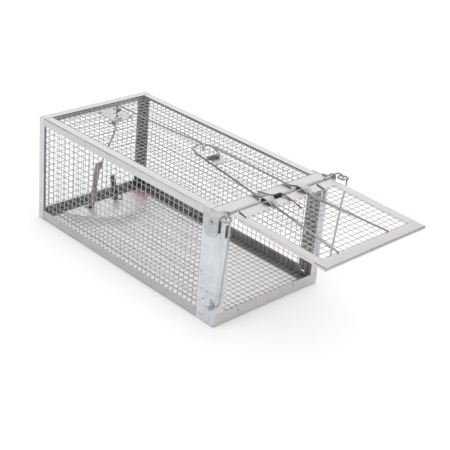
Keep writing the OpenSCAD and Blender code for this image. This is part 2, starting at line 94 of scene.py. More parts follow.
def door(x, y, z):
    """A point given level from the hinge line, in the cage axes."""
    return Vector((
        HINGE_X + x * cos(DROOP) + z * sin(DROOP), y, HINGE_Z - x * sin(DROOP) + z * cos(DROOP)
    ))


def cage(x, y, z):
    return Vector((x, y, z))


def steps(first, last, pitch):
    """Values from first up to last, one pitch apart."""
    return [first + i * pitch for i in range(int((last - first) / pitch + 1e-6) + 1)]


def spread(first, last, count):
    """count + 1 even values from first to last."""
    return [first + (last - first) * i / count for i in range(count + 1)]


# ---- Shapes: each is (vertices in mm, faces) ----

def rounded(points, reach, count=6):
    """A path with each inner corner rounded, starting "reach" before it."""
    points = [Vector(p) for p in points]
    path = [points[0]]
    for before, here, after in zip(points, points[1:], points[2:]):
        a, b = before - here, after - here
        a = a.normalized() * min(reach, a.length * 0.49)
        b = b.normalized() * min(reach, b.length * 0.49)
        for t in spread(0, 1, count):
            path.append(here + a * (1 - t) ** 2 + b * t ** 2)
    return path + [points[-1]]


def spline(points, count=6):
    """A smooth path through all the points."""
    points = [Vector(p) for p in points]
    ends = [2 * points[0] - points[1]] + points + [2 * points[-1] - points[-2]]
    path = []
    for a, b, c, d in zip(ends, ends[1:], ends[2:], ends[3:]):
        for t in spread(0, 1, count)[:-1]:
            path.append(0.5 * (
                2 * b + (c - a) * t + (2 * a - 5 * b + 4 * c - d) * t ** 2
                + (3 * b - a - 3 * c + d) * t ** 3
            ))
    return path + [points[-1]]


def tube(path, radius, sides=14, worn=True):
    """A round wire along a path. Worn ends are slightly rounded, as cut wire is."""
    path = [Vector(p) for p in path]
    heads = [(b - a).normalized() for a, b in zip(path, path[1:])]
    turns = [heads[0]] + [(a + b).normalized() for a, b in zip(heads, heads[1:])] + [heads[-1]]
    rings = [(p, h, 1.0) for p, h in zip(path, turns)]
    if worn:
        start, end = rings[0], rings[-1]
        lead = [(start[0] + start[1] * radius * k, start[1], s) for k, s in ((0, 0.6), (0.12, 0.88))]
        tail = [(end[0] - end[1] * radius * k, end[1], s) for k, s in ((0.12, 0.88), (0, 0.6))]
        first = (start[0] + start[1] * radius * 0.35, start[1], 1.0)
        last = (end[0] - end[1] * radius * 0.35, end[1], 1.0)
        rings = lead + [first] + rings[1:-1] + [last] + tail
    across = rings[0][1].orthogonal().normalized()
    verts, faces = [], []
    for centre, head, scale in rings:
        across = (across - head * across.dot(head)).normalized()
        side = head.cross(across)
        for k in range(sides):
            a = 2 * pi * k / sides
            verts.append(centre + (across * cos(a) + side * sin(a)) * radius * scale)
    for i in range(len(rings) - 1):
        for k in range(sides):
            a, b = i * sides + k, i * sides + (k + 1) % sides
            faces.append((a, b, b + sides, a + sides))
    last = (len(rings) - 1) * sides
    faces.append(tuple(range(sides))[::-1])
    faces.append(tuple(last + k for k in range(sides)))
    return verts, faces


def band(path, thick, stations, place):
    """A folded strip of sheet: a mid-line with a thickness, drawn out through the stations."""
    path = [Vector(p) for p in path]
    above, below = [], []
    for i, p in enumerate(path):
        run = path[min(i + 1, len(path) - 1)] - path[max(i - 1, 0)]
        off = Vector((-run.y, run.x)).normalized() * thick / 2
        above.append(p + off)
        below.append(p - off)
    loop = above + below[::-1]
    n, m = len(loop), len(path)
    verts = [place(p.x, p.y, s) for s in stations for p in loop]
    faces = []
    for k in range(len(stations) - 1):
        for i in range(n):
            j = (i + 1) % n
            faces.append((k * n + i, k * n + j, (k + 1) * n + j, (k + 1) * n + i))
    for base in (0, (len(stations) - 1) * n):
        for i in range(m - 1):
            faces.append((base + i, base + i + 1, base + n - 2 - i, base + n - 1 - i))
    return verts, faces


def slab(outline, low, high, place):
    """A flat plate with the given outline between two levels."""
    n = len(outline)
    verts = [place(p[0], p[1], s) for s in (low, high) for p in outline]
    faces = [(i, (i + 1) % n, (i + 1) % n + n, i + n) for i in range(n)]
    return verts, faces + [tuple(range(n))[::-1], tuple(range(n, 2 * n))]


def block(lo, hi):
    outline = [(lo[0], lo[1]), (hi[0], lo[1]), (hi[0], hi[1]), (lo[0], hi[1])]
    return slab(outline, lo[2], hi[2], cage)


def lathe(profile, centre, axis, sides=20):
    """A turned piece: the profile is (radius, height) pairs, the first and last on the axis."""
    axis = Vector(axis).normalized()
    across = axis.orthogonal().normalized()
    side = axis.cross(across)
    centre = Vector(centre)
    verts = [centre + axis * profile[0][1]]
    for r, h in profile[1:-1]:
        for k in range(sides):
            a = 2 * pi * k / sides
            verts.append(centre + axis * h + (across * cos(a) + side * sin(a)) * r)
    verts.append(centre + axis * profile[-1][1])
    end = len(verts) - 1
    faces = [(0, 1 + (k + 1) % sides, 1 + k) for k in range(sides)]
    for i in range(len(profile) - 3):
        for k in range(sides):
            a, b = 1 + i * sides + k, 1 + i * sides + (k + 1) % sides
            faces.append((a, b, b + sides, a + sides))
    base = 1 + (len(profile) - 3) * sides
    return verts, faces + [(base + k, base + (k + 1) % sides, end) for k in range(sides)]


def dome(centre, axis, radius, height, foot=0.3):
    """The head of a rivet, with its foot sunk a little into the sheet."""
    rise = [(radius * cos(a), height * (0.25 + 0.75 * sin(a))) for a in spread(0, pi / 2, 5)[:-1]]
    profile = [(0, -foot), (radius * 0.97, -foot), (radius, height * 0.1)] + rise + [(0, height)]
    return lathe(profile, centre, axis)


def ball(centre, along, across, radius, height, sides=8):
    """A low lump of zinc where two mesh wires are welded."""
    normal = Vector(along).cross(Vector(across)).normalized()
    half = spread(-pi / 2, pi / 2, 4)
    profile = [(radius * cos(a) if abs(a) < 1.5 else 0, height * sin(a)) for a in half]
    return lathe(profile, centre, normal, sides)


def mirrored(shape):
    verts, faces = shape
    return [Vector((v.x, -v.y, v.z)) for v in verts], [f[::-1] for f in faces]


# ---- Making pieces ----

WAVE = 0.1
WAVE_LENGTH = 34
DENT_SEED = 7
SHARP = radians(38)
SAME_WAY = 0.6
noise.seed_set(DENT_SEED)


def wavy(p):
    """Hand-folded sheet is never quite flat: everything shares one gentle field of small dents."""
    return p + noise.noise_vector(p / WAVE_LENGTH) * WAVE


def mesh_from(name, shapes):
    verts, faces = [], []
    for shape_verts, shape_faces in shapes:
        base = len(verts)
        verts += [((v.x + REAR) * MM, v.y * MM, v.z * MM) for v in shape_verts]
        faces += [[i + base for i in f] for f in shape_faces]
    mesh = bpy.data.meshes.new(name)
    mesh.from_pydata(verts, [], faces)
    mesh.validate()
    return mesh


def face_outwards(mesh):
    work = bmesh.new()
    work.from_mesh(mesh)
    bmesh.ops.recalc_face_normals(work, faces=work.faces)
    work.to_mesh(mesh)
    work.free()


def cut(obj, shapes):
    """Takes the shapes out of the object, each as its own closed solid."""
    for i, shape in enumerate(shapes):
        mesh = mesh_from(f"cutter_{i}", [shape])
        face_outwards(mesh)
        tool = bpy.data.objects.new(mesh.name, mesh)
        bpy.context.scene.collection.objects.link(tool)
        modifier = obj.modifiers.new("cut", "BOOLEAN")
        modifier.operation = "DIFFERENCE"
        modifier.solver = "EXACT"
        modifier.object = tool
        graph = bpy.context.evaluated_depsgraph_get()
        result = bpy.data.meshes.new_from_object(obj.evaluated_get(graph))
        obj.modifiers.clear()
        obj.data = result
        bpy.data.objects.remove(tool)


def piece(
    name, shapes, material, nodes, body, bevel=0.0, cutters=(), wave=False, bend=None, shade_facing=()
):
    """One visible piece that stands for some CAD nodes and rides on their body."""
    if wave:
        shapes = [([wavy(v) for v in verts], faces) for verts, faces in shapes]
    mesh = mesh_from(name, shapes)
    face_outwards(mesh)
    obj = bpy.data.objects.new(name, mesh)
    bpy.context.scene.collection.objects.link(obj)
    if cutters:
        cut(obj, cutters)
    obj.data.polygons.foreach_set("use_smooth", [True] * len(obj.data.polygons))
    obj.data.set_sharp_from_angle(angle=SHARP)
    if bevel:
        rim = obj.modifiers.new("worn edges", "BEVEL")
        rim.width = bevel * MM
        rim.segments = 2
        rim.limit_method = "ANGLE"
        rim.angle_limit = SHARP
        rim.harden_normals = True
    obj.data.materials.clear()
    obj.data.materials.append(material)
    # Painted shade: faces turned the given way take a darker copy of the material.
    for direction, other in shade_facing:
        obj.data.materials.append(other)
        index = len(obj.data.materials) - 1
        for face in obj.data.polygons:
            if face.normal.dot(Vector(direction)) > SAME_WAY:
                face.material_index = index
    if bend:
        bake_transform(obj)
    else:
        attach(obj, body)
    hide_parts(*nodes)
    return obj


# ---- Materials ----

# Painted shade: metal hemmed in by folds, wires and nearby parts is darkened towards a near-black colour
# through an ambient-occlusion mask.
CREVICE = 3
CREVICE_DARK, CREVICE_OPEN = 0.08, 0.72
PAINTED_SHADE_COLOUR = (0.035, 0.033, 0.03)
SPECK = (0.16, 0.15, 0.14)
BUMP = 0.35


class Graph:
    """Short names for the node kinds that the metals share."""

    def __init__(self, name):
        self.material = bpy.data.materials.new(name)
        self.material.use_nodes = True
        self.tree = self.material.node_tree
        self.shader = self.tree.nodes["Principled BSDF"]
        self.coord = self.add("ShaderNodeTexCoord").outputs["Object"]

    def add(self, kind, **settings):
        node = self.tree.nodes.new(kind)
        for key, value in settings.items():
            setattr(node, key, value)
        return node

    def link(self, source, target):
        self.tree.links.new(source, target)

    def scaled(self, scale):
        node = self.add("ShaderNodeMapping")
        node.inputs["Scale"].default_value = scale
        self.link(self.coord, node.inputs["Vector"])
        return node.outputs["Vector"]

    def noise(self, scale, detail=3.0, rough=0.55):
        node = self.add("ShaderNodeTexNoise")
        node.inputs["Scale"].default_value = 1.0
        node.inputs["Detail"].default_value = detail
        node.inputs["Roughness"].default_value = rough
        self.link(self.scaled(scale), node.inputs["Vector"])
        return node.outputs["Fac"]

    def crystals(self, scale):
        """One even value per zinc crystal."""
        node = self.add("ShaderNodeTexVoronoi", feature="F1")
        node.inputs["Scale"].default_value = 1.0
        self.link(self.scaled((scale, scale, scale)), node.inputs["Vector"])
        grey = self.add("ShaderNodeRGBToBW")
        self.link(node.outputs["Color"], grey.inputs["Color"])
        return grey.outputs["Val"]

    def sum(self, start, *terms):
        """start + amount * (value - 0.5) for each (value, amount)."""
        total = None
        for value, amount in terms:
            node = self.add("ShaderNodeMath", operation="MULTIPLY_ADD")
            self.link(value, node.inputs[0])
            node.inputs[1].default_value = amount
            if total is None:
                node.inputs[2].default_value = start - amount * 0.5
            else:
                less = self.add("ShaderNodeMath", operation="SUBTRACT")
                self.link(total, less.inputs[0])
                less.inputs[1].default_value = amount * 0.5
                self.link(less.outputs[0], node.inputs[2])
            total = node.outputs[0]
        return total

    def band(self, value, low, high):
        """0 below low and 1 above high, smooth between."""
        node = self.add("ShaderNodeMapRange", interpolation_type="SMOOTHSTEP")
        node.inputs["From Min"].default_value = low
        node.inputs["From Max"].default_value = high
        self.link(value, node.inputs["Value"])
        return node.outputs["Result"]

    def crevice_shade_mask(self):
        """Mask for painted shade: 0 where the surface is closely hemmed in, as in a fold or under a
        wire, and 1 in the open.
        """
        node = self.add("ShaderNodeAmbientOcclusion", samples=8)
        node.inputs["Distance"].default_value = CREVICE * MM
        return self.band(node.outputs["AO"], CREVICE_DARK, CREVICE_OPEN)

    def mix(self, factor, a, b, blend="MIX"):
        node = self.add("ShaderNodeMix", data_type="RGBA", blend_type=blend)
        for value, socket in ((factor, node.inputs[0]), (a, node.inputs[6]), (b, node.inputs[7])):
            if isinstance(value, (int, float)):
                socket.default_value = value
            elif isinstance(value, tuple):
                socket.default_value = (*value, 1)
            else:
                self.link(value, socket)
        return node.outputs[2]


def metal(
    name, color, rough, spangle=0.10, crystal=260, patches=0.10, streaks=(0, 0, 0), streak=0.0,
    grime=0.25, stain=(0.30, 0.24, 0.19), stained=0.0, lumps=0.05, metallic=1.0, tint=None,
):
    """Zinc-coated steel: crystals, cloudy patches, rubbed streaks, dark specks and fine lumps, with
    painted shade in crevices.
    """
    g = Graph(name)
    zinc = g.crystals(crystal)
    cloud = g.noise((38, 38, 38), 4)
    fine = g.noise((900, 900, 900), 2)
    rub = g.noise(streaks, 4, 0.65) if streak else cloud
    speck = g.band(g.noise((420, 420, 420), 3, 0.7), 0.66, 0.76)
    bright = g.sum(1.0, (zinc, spangle), (cloud, patches * 2), (rub, streak), (fine, 0.06))
    tone = g.mix(1.0, color, bright, "MULTIPLY")
    if stained:
        soil = g.band(g.noise((60, 60, 60), 5, 0.7), 0.72 - stained * 0.4, 0.9 - stained * 0.3)
        tone = g.mix(soil, tone, stain)
    if tint:
        start, end, colour = tint
        split = g.add("ShaderNodeSeparateXYZ")
        g.link(g.coord, split.inputs[0])
        tone = g.mix(g.band(split.outputs["Y"], start * MM, end * MM), tone, colour)
    dark = g.add("ShaderNodeMath", operation="MULTIPLY")
    g.link(speck, dark.inputs[0])
    dark.inputs[1].default_value = grime
    tone = g.mix(dark.outputs[0], tone, SPECK)
    # Painted shade: hemmed-in spots are mixed towards the near-black shade colour.
    g.link(g.mix(g.crevice_shade_mask(), PAINTED_SHADE_COLOUR, tone), g.shader.inputs["Base Color"])
    gloss = g.sum(rough, (zinc, 0.10), (cloud, 0.16), (rub, streak * 0.4))
    g.link(gloss, g.shader.inputs["Roughness"])
    g.shader.inputs["Metallic"].default_value = metallic
    bump = g.add("ShaderNodeBump")
    bump.inputs["Strength"].default_value = BUMP
    bump.inputs["Distance"].default_value = lumps * MM
    height = g.sum(0.5, (zinc, 0.5), (cloud, 1.2), (rub, streak * 3), (fine, 0.8))
    g.link(height, bump.inputs["Height"])
    g.link(bump.outputs["Normal"], g.shader.inputs["Normal"])
    return g.material


UPRIGHT = (520, 520, 22)
ALONG_X = (22, 520, 520)
ALONG_Y = (520, 22, 520)

mesh_zinc = metal("mesh zinc", (0.55, 0.535, 0.555), 0.34, crystal=420, patches=0.3, grime=0.35)
rail_zinc = metal("rail zinc", (0.64, 0.625, 0.62), 0.36, streaks=ALONG_X, streak=0.22)
# Painted shade: the rails' outer upright faces take darker copies of rail zinc, darker still on the low
# rails.
top_rail_side_shade_zinc = metal("top rail side shaded zinc", (0.60, 0.59, 0.59), 0.34, streaks=ALONG_X, streak=0.3)
low_rail_side_shade_zinc = metal("low rail side shaded zinc", (0.50, 0.50, 0.505), 0.34, streaks=ALONG_X, streak=0.4, grime=0.5)
sill_zinc = metal("sill zinc", (0.58, 0.565, 0.55), 0.34, streaks=ALONG_Y, streak=0.35, grime=0.5)
level_zinc = metal("level zinc", (0.62, 0.60, 0.60), 0.36, streaks=ALONG_Y, streak=0.22)
post_zinc = metal("post zinc", (0.62, 0.635, 0.66), 0.30, streaks=UPRIGHT, streak=0.55, patches=0.25)
# Painted shade: a darker copy of zinc for faces turned into the cage and for undersides, standing in for
# the shade that falls there.
inner_shade_zinc = metal("inner painted shade zinc", (0.33, 0.33, 0.32), 0.42, patches=0.5, grime=0.5)
plate_zinc = metal("plate zinc", (0.50, 0.51, 0.51), 0.32, spangle=0.3, patches=0.25)
door_zinc = metal("door zinc", (0.62, 0.60, 0.59), 0.34, streaks=ALONG_X, streak=0.2)
tongue_zinc = metal("tongue zinc", (0.60, 0.60, 0.60), 0.40, patches=0.3, grime=0.3)
rod_zinc = metal("rod zinc", (0.56, 0.55, 0.545), 0.26, streaks=ALONG_Y, streak=0.3, grime=0.3)
wire_zinc = metal("wire zinc", (0.36, 0.35, 0.345), 0.28, crystal=600, patches=0.3, grime=0.3)
arm_zinc = metal("arm zinc", (0.38, 0.37, 0.36), 0.26, crystal=600, patches=0.3, grime=0.3)
lock_zinc = metal("lock wire zinc", (0.40, 0.40, 0.40), 0.26, crystal=600, patches=0.3, grime=0.3)
spring_steel = metal("spring steel", (0.09, 0.09, 0.09), 0.42, crystal=700, patches=0.3, grime=0.5)
rivet_steel = metal("rivet steel", (0.42, 0.42, 0.42), 0.32, crystal=500, grime=0.4)
# The strap's dark brownish base colour is painted shade on its front face; the stain patches on it are
# real stains.
shaded_strap_steel = metal(
    "strap steel with painted shade", (0.40, 0.355, 0.33), 0.44, streaks=UPRIGHT, streak=0.3, stained=0.3, grime=0.5
)
pedal_steel = metal(
    "pedal steel", (0.92, 0.905, 0.88), 0.40, spangle=0.3, patches=0.25, metallic=0.5,
    tint=(30, 48, (0.66, 0.40, 0.37)),
)
bait_steel = metal("bait steel", (0.20, 0.18, 0.165), 0.46, crystal=500, stained=0.5, grime=0.5)


# ---- Welded mesh ----

MESH_R = MESH_D / 2
LAYER = 0.52
DRIFT = 0.14
WELD_R = 0.42
WELD_FLAT = 0.86
FLOOR_START, WALL_START, REAR_START, DOOR_START = 2.5, 2.2, 2, 3


def welded_mesh(name, length, width, first, place, body="cage", hole=None):
    """Wires along the length, wires across on top of them, and a lump of zinc at each crossing."""
    seed = sum(map(ord, name)) % 7
    rows = steps(first, width - 1, MESH_PITCH)
    columns = steps(first, length - 1, MESH_PITCH)

    def along(i, x):
        return Vector((x, rows[i] + DRIFT * sin(x / 23 + seed + 1.7 * i), 0))

    def across(j, y):
        return Vector((columns[j] + DRIFT * sin(y / 19 + 2 * seed + 2.3 * j), y, LAYER))

    def open_at(p):
        return hole and hole[0] < p.x < hole[1] and hole[2] < p.y < hole[3]

    def wire(points):
        """The wire in one run, or in two where it meets the hole."""
        runs, run = [], []
        for p in points:
            if open_at(p):
                runs.append(run)
                run = []
            else:
                run.append(p)
        runs.append(run)
        return [tube([place(*p) for p in r], MESH_R, 8) for r in runs if len(r) > 1]

    shapes = []
    for i in range(len(rows)):
        shapes += wire([along(i, x) for x in [0] + columns + [length]])
    for j in range(len(columns)):
        shapes += wire([across(j, y) for y in [0] + rows + [width]])
    u, v = place(1, 0, 0) - place(0, 0, 0), place(0, 1, 0) - place(0, 0, 0)
    for i, y in enumerate(rows):
        for j, x in enumerate(columns):
            spot = Vector((across(j, y).x, along(i, x).y, LAYER / 2))
            if not open_at(spot):
                size = WELD_R * (1 + 0.16 * sin(3.1 * i + 5.3 * j + seed))
                shapes.append(ball(place(*spot), u, v, size, size * WELD_FLAT))
    return piece(name, shapes, mesh_zinc, [name], body)


lo, hi = cad_box_mm("bottom_mesh")
floor_l, floor_w = hi.x - lo.x, hi.y - lo.y
welded_mesh(
    "bottom_mesh", floor_l, floor_w, FLOOR_START,
    lambda x, y, z: Vector((lo.x + x, lo.y + y, lo.z + MESH_R + z)),
)
roof_lo, roof_hi = cad_box_mm("top_mesh")
SLOT_Y = -2.5
welded_mesh(
    "top_mesh", floor_l, floor_w, FLOOR_START,
    lambda x, y, z: Vector((roof_lo.x + x, roof_lo.y + y, roof_hi.z - MESH_R - z)),
    hole=(
        PIVOT_X - 9.3 - roof_lo.x, PIVOT_X + 9.7 - roof_lo.x,
        SLOT_Y - 9 - roof_lo.y, SLOT_Y + 9 - roof_lo.y,
    ),
)
for side, name in ((-1, "left_mesh"), (1, "right_mesh")):
    wall_lo, wall_hi = cad_box_mm(name)
    outer = side * (HALF_W - SHEET - MESH_R)
    welded_mesh(
        name, wall_hi.x - wall_lo.x, wall_hi.z - wall_lo.z, WALL_START,
        lambda x, y, z: Vector((wall_lo.x + x, outer - side * z, wall_lo.z + y)),
    )
rear_lo, rear_hi = cad_box_mm("rear_mesh")
welded_mesh(
    "rear_mesh", rear_hi.y - rear_lo.y, rear_hi.z - rear_lo.z, REAR_START,
    lambda x, y, z: Vector((rear_lo.x + MESH_R + z, rear_lo.y + x, rear_lo.z + y)),
)
welded_mesh(
    "door_mesh", DOOR_REACH - STRIP_X - 2.5, 2 * DOOR_HALF - 3, DOOR_START,
    lambda x, y, z: door(STRIP_X + 1 + x, 1.5 - DOOR_HALF + y, STRIP_Z - MESH_R - z),
    body="door",
)

# ---- Corner strips and the rear frame ----

REAR_LEG = 9
FLAT_LEG = 9
RAIL_X = cad_box_mm("left_bottom_rail")[0].x
RAIL_END = cad_box_mm("left_front_post")[0].x - 0.4
RAIL_FLAT_END = cad_box_mm("left_bottom_rail")[1].x
MID = SHEET / 2


def corner_rail(side, top, leg):
    """An angle strip along a long corner of the cage."""
    base, up = (CAGE_H, -1) if top else (0, 1)
    name = f"{'left' if side < 0 else 'right'}_{'top' if top else 'bottom'}_rail"

    def place(u, v, s):
        return Vector((s, side * (HALF_W - u), base + up * v))

    path = rounded([(FLAT_LEG, MID), (MID, MID), (MID, leg)], FOLD)
    clear = [place(-1, SHEET + 0.2, RAIL_END), place(SHEET + 0.2, leg + 1, RAIL_FLAT_END + 1)]
    lows = [min(a, b) for a, b in zip(*clear)]
    highs = [max(a, b) for a, b in zip(*clear)]
    # Painted shade: the rail's inner face and outer upright face take darker shaded copies of rail zinc.
    piece(
        name, [band(path, SHEET, spread(RAIL_X, RAIL_FLAT_END, 24), place)], rail_zinc, [name],
        "cage", bevel=0.1, cutters=[block(lows, highs)], wave=True,
        shade_facing=[((0, -side, 0), inner_shade_zinc), ((0, side, 0), top_rail_side_shade_zinc if top else low_rail_side_shade_zinc)],
    )


for side in (-1, 1):
    corner_rail(side, True, cad_box_mm("left_top_rail")[1].z - cad_box_mm("left_top_rail")[0].z)
    corner_rail(side, False, cad_box_mm("left_bottom_rail")[1].z)


def rear_upright(side):
    name = "rear_frame_left" if side < 0 else "rear_frame_right"
    path = rounded([(REAR_LEG, MID), (MID, MID), (MID, REAR_LEG)], FOLD)
    shape = band(
        path, SHEET, spread(SHEET, CAGE_H - SHEET, 12),
        lambda u, v, s: Vector((u, side * (HALF_W - v), s)),
    )
    piece(
        name, [shape], post_zinc, [name], "cage", bevel=0.1, wave=True,
        shade_facing=[((0, -side, 0), inner_shade_zinc), ((1, 0, 0), inner_shade_zinc)],
    )


def rear_level(top):
    name = "rear_frame_top" if top else "rear_frame_bottom"
    base, up = (CAGE_H, -1) if top else (0, 1)
    path = rounded([(REAR_LEG, MID), (MID, MID), (MID, REAR_LEG)], FOLD)
    shape = band(
        path, SHEET, spread(-HALF_W, HALF_W, 14), lambda u, v, s: Vector((u, s, base + up * v))
    )
    levels = sorted((base + up * (SHEET + 0.2), base + up * (REAR_LEG + 1)))
    ends = []
    for reach in ((-HALF_W - 1, REAR_LEG - HALF_W), (HALF_W - REAR_LEG, HALF_W + 1)):
        ends.append(block((-1, reach[0], levels[0]), (SHEET + 0.2, reach[1], levels[1])))
    piece(
        name, [shape], level_zinc, [name], "cage", bevel=0.1, cutters=ends, wave=True,
        shade_facing=[((1, 0, 0), inner_shade_zinc)],
    )


for side in (-1, 1):
    rear_upright(side)
for top in (False, True):
    rear_level(top)

# ---- Front frame ----

POST_X = cad_box_mm("left_front_post")[0].x
POST_FACE = 10
CORNER_TOP = cad_box_mm("left_corner_plate")[1].z
POST_FOOT = cad_box_mm("left_front_post")[0].z
SILL_H = 12.5


def front_angle(side):
    """Places an angle whose legs lie on the side wall and on the front."""
    return lambda u, v, s: Vector((u, side * (HALF_W - v), s))


def sided(side, lo, hi):
    """A block given for the right-hand side, or its mirror image."""
    ys = sorted((side * lo[1], side * hi[1]))
    return block((lo[0], ys[0], lo[2]), (hi[0], ys[1], hi[2]))


def front_post(side):
    name = "left_front_post" if side < 0 else "right_front_post"
    path = rounded([(POST_X, MID), (CAGE_L - MID, MID), (CAGE_L - MID, POST_FACE)], FOLD)
    shape = band(path, SHEET, spread(POST_FOOT, CAGE_H - SHEET, 12), front_angle(side))
    holes = [
        sided(side, (CAGE_L - 2, HALF_W - 7.5, 88), (CAGE_L + 2, HALF_W - 4, 101)),
        sided(side, (POST_X + 2, HALF_W - 2, 45), (POST_X + 3.2, HALF_W + 2, 50)),
    ]
    piece(
        name, [shape], post_zinc, [name], "cage", bevel=0.1, cutters=holes, wave=True,
        shade_facing=[((0, -side, 0), inner_shade_zinc)],
    )


def corner_plate(side):
    name = "left_corner_plate" if side < 0 else "right_corner_plate"
    path = rounded([(POST_X, MID), (CAGE_L - MID, MID), (CAGE_L - MID, POST_FACE)], FOLD)
    shape = band(path, SHEET, spread(SHEET, CORNER_TOP, 6), front_angle(side))
    round_hole = lathe(
        [(0, -2), (1.1, -2), (1.1, 2), (0, 2)], (POST_X + 8, side * HALF_W, 23), (0, 1, 0)
    )
    holes = [
        sided(side, (CAGE_L - 1, HALF_W - 12, -1), (CAGE_L + 1, HALF_W - 0.9, SILL_H)),
        sided(side, (CAGE_L - 2.2, HALF_W - 1.5, -1), (CAGE_L + 1, HALF_W + 1, 2)),
        sided(side, (POST_X + 3, HALF_W - 2, 5), (POST_X + 8, HALF_W + 2, 6.2)),
        sided(side, (CAGE_L - 7, HALF_W - 2, 21), (CAGE_L - 3.4, HALF_W + 2, 28)),
        round_hole,
    ]
    piece(
        name, [shape], post_zinc, [name], "cage", bevel=0.1, cutters=holes, wave=True,
        shade_facing=[((0, -side, 0), inner_shade_zinc)],
    )


CATCH_Z = 17.4
CATCH_OUT = 5.6
CATCH_T = 0.8


def catch(side):
    """A bright tongue bent out of the side wall, turned up at its edge."""
    name = "left_catch" if side < 0 else "right_catch"
    path = rounded([(0, CATCH_Z), (CATCH_OUT, CATCH_Z), (CATCH_OUT, 21)], 0.9)
    shape = band(
        path, CATCH_T, spread(CAGE_L - 9.5, CAGE_L - 3.5, 4),
        lambda u, v, s: Vector((s, side * (HALF_W + u), v)),
    )
    piece(name, [shape], tongue_zinc, [name], "cage", bevel=0.15)


for side in (-1, 1):
    front_post(side)
    corner_plate(side)
    catch(side)

sill_holes = [(-38, 8), (34.5, 9.5)]
sill_path = rounded([(CAGE_L - 16, MID), (CAGE_L - MID, MID), (CAGE_L - MID, SILL_H - 0.3)], FOLD)
sill_hole = [(0, -2), (0.9, -2), (0.9, 2), (0, 2)]
piece(
    "front_sill",
    [band(
        sill_path, SHEET, spread(SHEET - HALF_W, HALF_W - SHEET, 14),
        lambda u, v, s: Vector((u, s, v)),
    )],
    sill_zinc, ["front_sill"], "cage", bevel=0.1, wave=True,
    cutters=[lathe(sill_hole, (CAGE_L, y, z), (1, 0, 0)) for y, z in sill_holes],
)
piece(
    "sill_rivets", [dome((CAGE_L, y, z), (1, 0, 0), 1.5, 0.35) for y, z in sill_holes],
    rivet_steel, ["sill_rivets"], "cage",
)

# ---- The strip across the front of the roof, with its bead and tabs ----

HEADER_X = cad_box_mm("roof_header")[0].x
BEAD_END = 56.5
BEAD_R = 0.8
TAB_Y = (57.5, 65)
bead_x = CAGE_L - 1.9
bead_z = CAGE_H - MID + BEAD_R
bead_path = [(HEADER_X, CAGE_H - MID), (HEADER_X + 7, CAGE_H - MID)] + [
    (bead_x + BEAD_R * sin(a), bead_z - BEAD_R * cos(a)) for a in spread(0, radians(290), 14)
]
flat_path = [(HEADER_X, CAGE_H - MID), (CAGE_L - 1, CAGE_H - MID)]


def across_roof(u, v, s):
    return Vector((u, s, v))


header = [band(bead_path, SHEET, spread(-BEAD_END, BEAD_END, 24), across_roof)]
for side in (-1, 1):
    header.append(band(
        flat_path, SHEET, spread(side * BEAD_END, side * (HALF_W - SHEET), 2), across_roof
    ))
piece("roof_header", header, level_zinc, ["roof_header"], "cage", bevel=0.1, wave=True)

TAB_R = 1.72
tab_path = [(CAGE_L - 4, HINGE_Z - TAB_R), (HINGE_X - 1, HINGE_Z - TAB_R)] + [
    (HINGE_X + TAB_R * sin(a), HINGE_Z - TAB_R * cos(a)) for a in spread(0, radians(300), 16)
]
tabs = []
for side in (-1, 1):
    tabs.append(band(tab_path, SHEET, spread(side * TAB_Y[0], side * TAB_Y[1], 2), across_roof))
piece("hinge_tabs", tabs, level_zinc, ["hinge_tabs"], "cage", bevel=0.12)

# ---- Hinge rod, ears and rivets ----

ROD_END = 70.2
ARCH_OUT = LOCK.y - ROD_END
ARCH_ALONG = LOCK.x - HINGE_X
ARCH_RISE = 4.4
ARCH_END = 2.6
arch = [
    (
        HINGE_X + ARCH_ALONG * (1 - cos(a)) / 2, ROD_END + ARCH_OUT * (1 - cos(a)) / 2,
        HINGE_Z + ARCH_RISE * sin(a),
    )
    for a in spread(0, pi, 18)
] + [(LOCK.x, LOCK.y, HINGE_Z - ARCH_END)]
straight = [(HINGE_X, y, HINGE_Z) for y in spread(-ROD_END - 0.6, ROD_END + 0.6, 30)]
looped = tube(arch, 0.9)
piece(
    "hinge_rod", [tube(straight, ROD_R, 18), looped, mirrored(looped)],
    rod_zinc, ["hinge_rod"], "cage",
)

EAR = 0.7
RIVET_X = CAGE_L - 13.5
RIVET_Z = 100
HEAD_R = 4.2
foot_r = 9
foot_x = CAGE_L - 14
foot_z = CAGE_H - 17
ear_outline = [(CAGE_L - 23, CAGE_H)]
ear_outline += [(foot_x - foot_r * cos(a), foot_z - foot_r * sin(a)) for a in spread(0, pi, 20)]
ear_outline += rounded([
    (CAGE_L - 4.6, CAGE_H - 12), (CAGE_L - 4.2, CAGE_H - 5), (CAGE_L - 1.5, CAGE_H - 3.2)
], 2)
ear_outline += [
    (HINGE_X + HEAD_R * sin(a), HINGE_Z - HEAD_R * cos(a))
    for a in spread(radians(-20), radians(215), 20)
]
ear_outline += [(CAGE_L - 4.5, CAGE_H + 2), (CAGE_L - 10, CAGE_H + 1.6), (CAGE_L - 11, CAGE_H)]


def ear(side):
    name = "left_hinge_ear" if side < 0 else "right_hinge_ear"
    outline = [(p[0], p[1]) for p in ear_outline]
    shape = slab(outline, 0, EAR, lambda u, v, s: Vector((u, side * (HALF_W + s), v)))
    lip = band(
        rounded([(CAGE_L - 6, EAR / 2), (CAGE_L - 3.6, EAR / 2), (CAGE_L - 3.2, 2.4)], 0.8), 0.5,
        spread(CAGE_H - 18.5, CAGE_H - 6.5, 6), lambda u, v, s: Vector((u, side * (HALF_W + v), s)),
    )
    piece(name, [shape, lip], plate_zinc, [name], "cage", bevel=0.16)


for side in (-1, 1):
    ear(side)
piece(
    "ear_rivets",
    [dome((RIVET_X, side * (HALF_W + EAR), RIVET_Z), (0, side, 0), 2.5, 1.1) for side in (-1, 1)],
    rivet_steel, ["ear_rivets"], "cage",
)

# ---- Trigger bracket ----

PLATE_T = 0.8
ARC_R = 10.5
CHEEK_W = 6
rivet_spots = [(PIVOT_X + x, SLOT_Y + y) for x in (-12.5, 12.5) for y in (-9, 9)]


